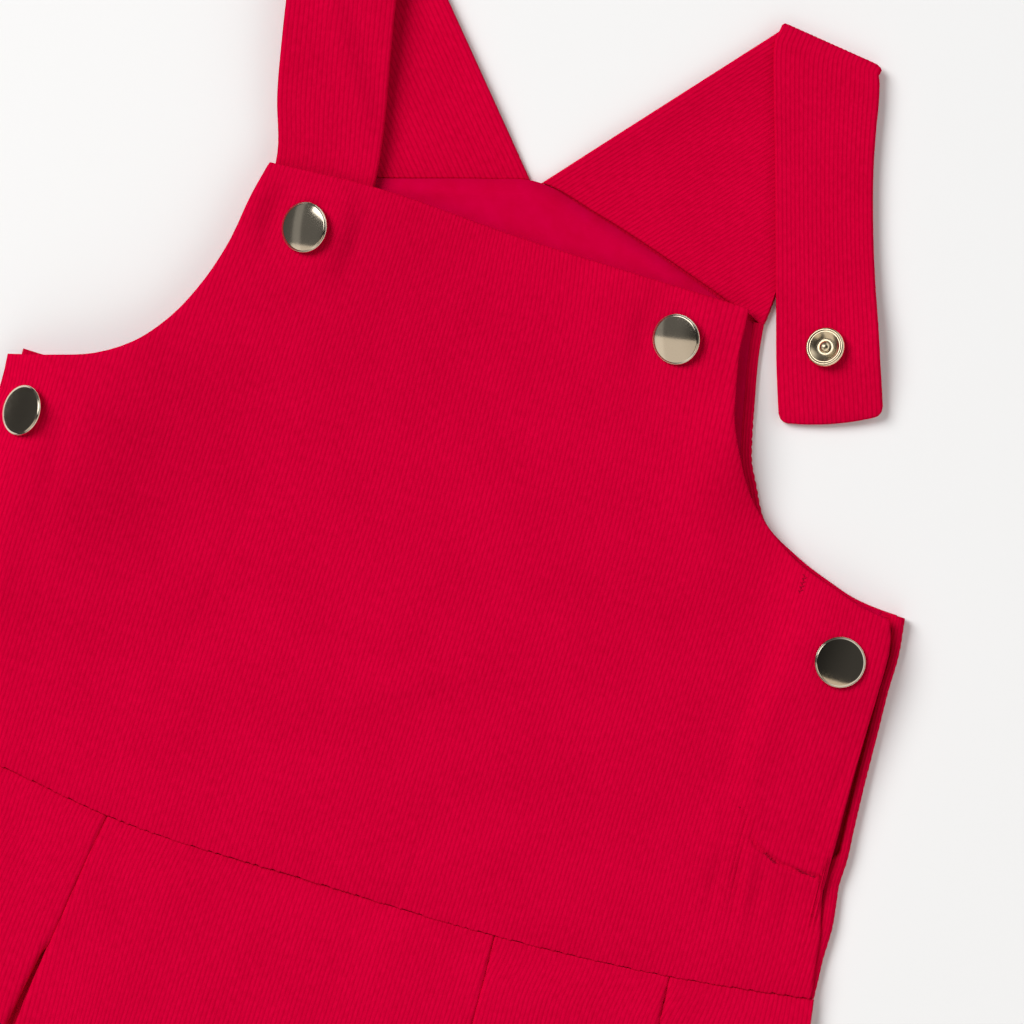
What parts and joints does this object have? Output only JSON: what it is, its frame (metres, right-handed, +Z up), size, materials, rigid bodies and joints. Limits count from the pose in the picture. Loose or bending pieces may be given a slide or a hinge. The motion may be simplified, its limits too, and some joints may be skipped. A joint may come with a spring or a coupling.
{
  "type": "child's pinafore dress",
  "caption": "Child's sleeveless pinafore dress in fine corduroy, laid flat, with a bib front, snapped shoulder straps, snapped side openings and a pleated skirt.",
  "frame": {"origin": "on the underside of the back panel, on the garment's centre line, level with the top edge of the bib", "axes": "+X to the right of the dress as it lies, +Y up the dress from hem to shoulders, +Z up from the surface that it lies on"},
  "size_m": [0.366, 0.4707, 0.0186],
  "materials": {
    "corduroy": "fine-wale cotton corduroy, matte with a soft nap",
    "lining": "smooth plain-weave cotton, matte",
    "snap_metal": "polished pale gold plating"
  },
  "bodies": {
    "root": {"back_bodice": "corduroy", "back_lining": "lining", "front_bodice": "corduroy", "front_skirt": "corduroy", "back_skirt": "corduroy", "strap_left": "corduroy", "strap_right": "corduroy", "placket_left": "corduroy", "placket_right": "corduroy", "bib_snap_left": "snap_metal", "bib_snap_right": "snap_metal", "side_snap_left": "snap_metal", "side_snap_right": "snap_metal", "strap_stud_left": "snap_metal", "strap_stud_right": "snap_metal", "side_stud_left": "snap_metal", "side_stud_right": "snap_metal"}
  },
  "joints": []
}
